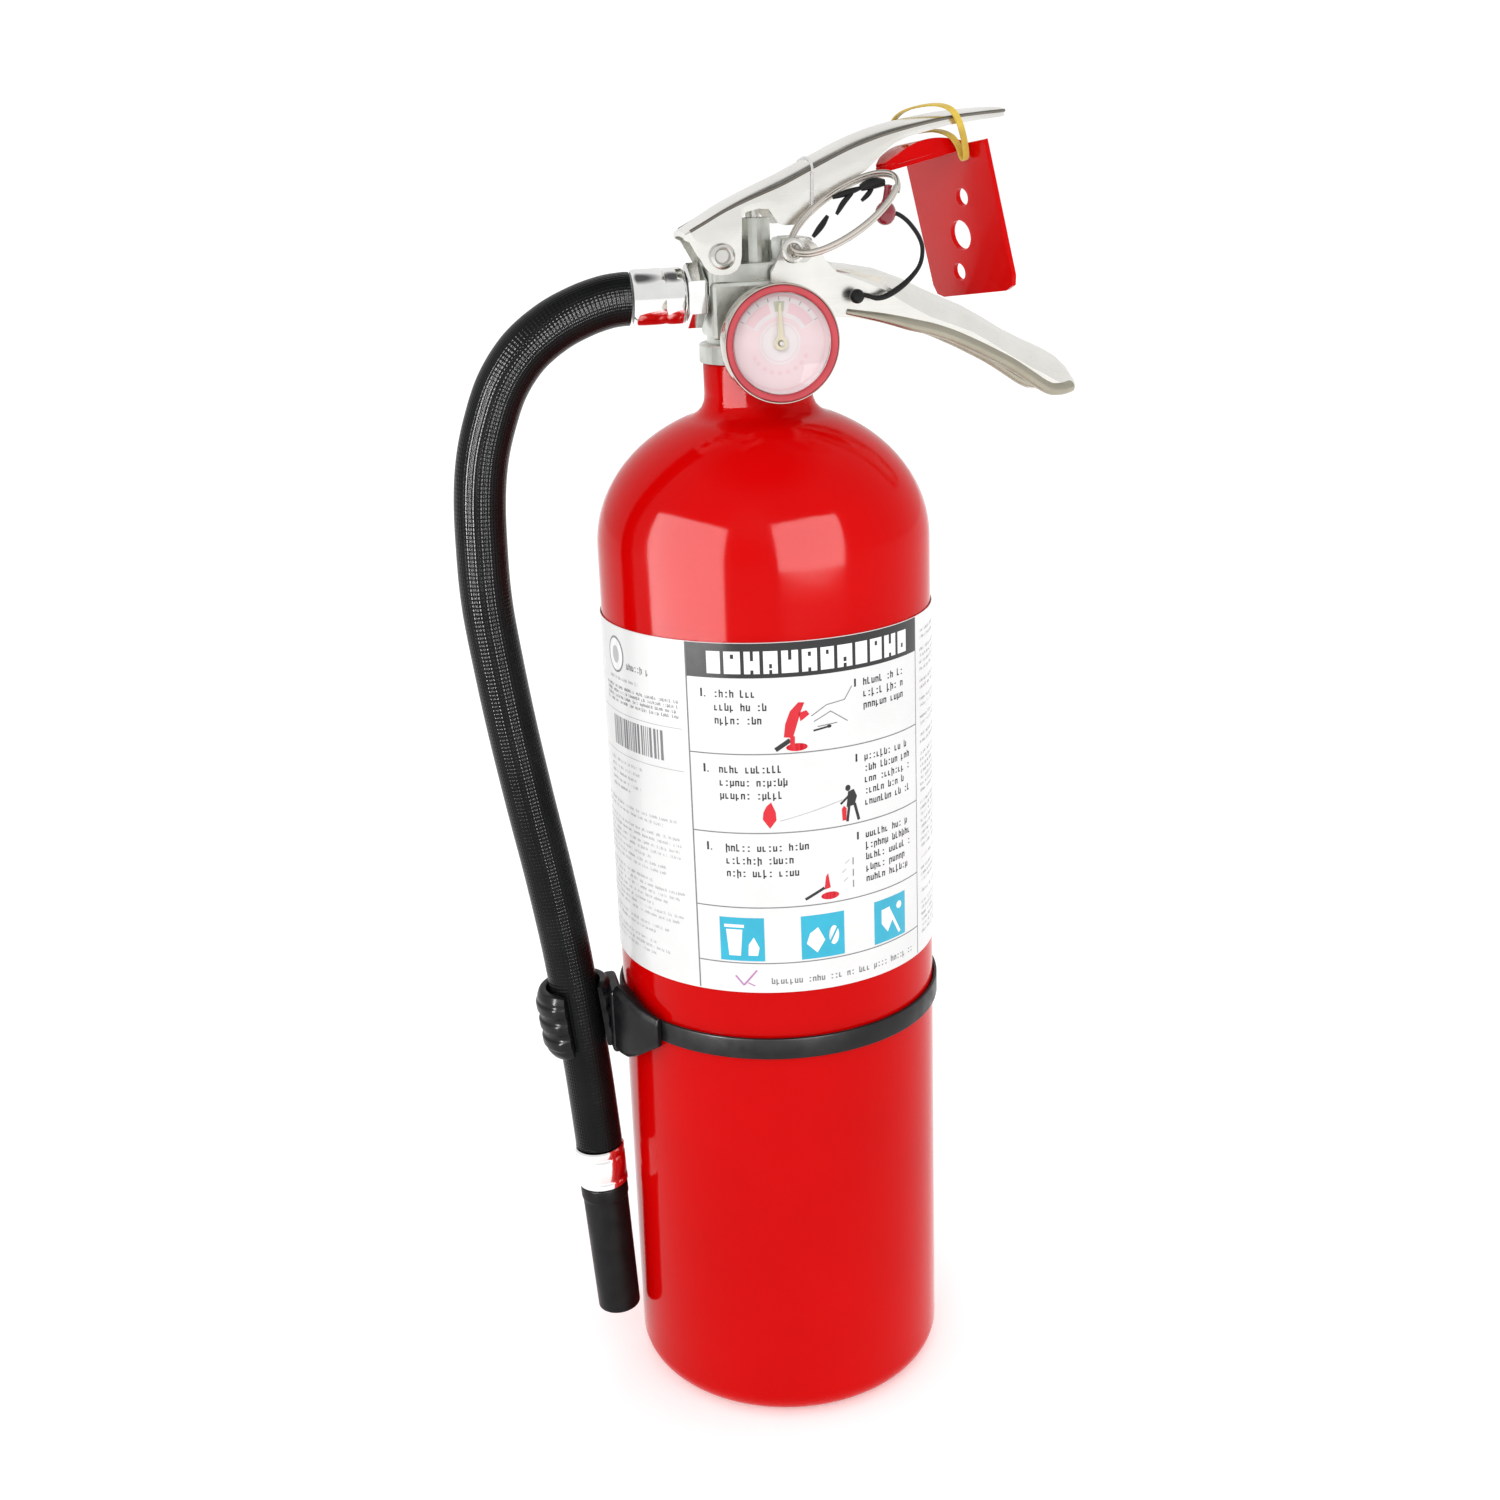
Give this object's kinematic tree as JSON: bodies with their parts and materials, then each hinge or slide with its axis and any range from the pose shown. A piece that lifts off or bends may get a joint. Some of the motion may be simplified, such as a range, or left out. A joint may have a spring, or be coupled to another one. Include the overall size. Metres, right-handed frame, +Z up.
{
  "type": "fire extinguisher",
  "caption": "Hand-held dry-chemical fire extinguisher with squeeze lever, carry handle, gauge, pull pin, clipped hose and a loose wall bracket tied under the lever.",
  "frame": {"origin": "centre of the cylinder's flat base", "axes": "+Z up the cylinder, +X towards the tip of the lever and carry handle, -Y towards the gauge's face"},
  "size_m": [0.2407, 0.1304, 0.5064],
  "materials": {
    "red_paint": "glossy red powder coat",
    "label_print": "printed vinyl wrap, satin",
    "cast_aluminium": "die-cast, slightly rough",
    "nickel_plate": "nickel-plated pressed steel",
    "bright_steel": "bright zinc-plated steel",
    "brass": "turned brass",
    "seal_rubber": "moulded rubber",
    "hose_rubber": "smooth black rubber",
    "clip_plastic": "moulded, satin",
    "fine_black": "moulded, satin",
    "siphon_plastic": "extruded, matt",
    "dial_print": "printed, matt",
    "lens": "clear, polished",
    "seal_red": "moulded, glossy",
    "tie_yellow": "moulded nylon"
  },
  "bodies": {
    "extinguisher": {"cylinder_shell": "red_paint", "label": "label_print", "siphon_tube": "siphon_plastic", "siphon_adapter": "siphon_plastic", "valve_body": "cast_aluminium", "neck_o_ring": "seal_rubber", "valve_spring": "bright_steel", "gauge_case": "red_paint", "gauge_stem": "brass", "bourdon_coil": "brass", "gauge_dial": "dial_print", "gauge_pivot": "bright_steel", "gauge_lens": "lens", "lever_rivet": "bright_steel", "carry_handle": "nickel_plate", "handle_rivet": "bright_steel", "hose_nut": "bright_steel", "hose_ferrule_upper": "bright_steel", "hose": "hose_rubber", "hose_ferrule_lower": "bright_steel", "nozzle": "hose_rubber", "hose_strap": "hose_rubber", "hose_clip": "clip_plastic", "strap_buckle": "clip_plastic"},
    "stem": {"valve_stem": "brass", "stem_seat_seal": "seal_rubber"},
    "needle": {"gauge_needle": "fine_black"},
    "lever": {"lever": "nickel_plate", "bracket_tie": "tie_yellow"},
    "pin": {"pull_pin": "bright_steel"},
    "ring": {"pull_ring": "bright_steel", "seal_strap": "fine_black", "seal_lock": "seal_red", "seal_knob": "fine_black"},
    "bracket": {"wall_bracket": "red_paint"}
  },
  "joints": [
    {"name": "lever_squeeze", "type": "hinge", "parent": "extinguisher", "child": "lever", "pos_m": [-0.0142, 0, 0.4575], "axis": [0, 1, 0], "range_deg": [0, 13], "stiffness_Nm_per_rad": 6, "springref_deg": -6.88},
    {"name": "stem_press", "type": "slide", "parent": "extinguisher", "child": "stem", "axis": [0, 0, -1], "range_m": [0, 0.0046], "deforming": ["valve_spring"]},
    {"name": "gauge_needle_turn", "type": "hinge", "parent": "extinguisher", "child": "needle", "pos_m": [0.0023, -0.0287, 0.4275], "axis": [0, 1, 0], "range_deg": [-75, 60]},
    {"name": "pull_pin_slide", "type": "slide", "parent": "extinguisher", "child": "pin", "axis": [0, -1, 0], "range_m": [0, 0.045]},
    {"name": "pull_ring_swing", "type": "hinge", "parent": "pin", "child": "ring", "pos_m": [0.0094, -0.0225, 0.459], "axis": [0, 1, 0], "range_deg": [-8, 8]},
    {"name": "bracket_swing", "type": "hinge", "parent": "lever", "child": "bracket", "pos_m": [0.07139, -0.00059, 0.48659], "axis": [0.3411, -0.9343, 0.104], "range_deg": [0, 34]}
  ],
  "couplings": [
    {"joint": "stem_press", "follows": "lever_squeeze", "m_per_rad": 0.019},
    {"joint": "bracket_swing", "follows": "lever_squeeze", "ratio": 2.6}
  ]
}
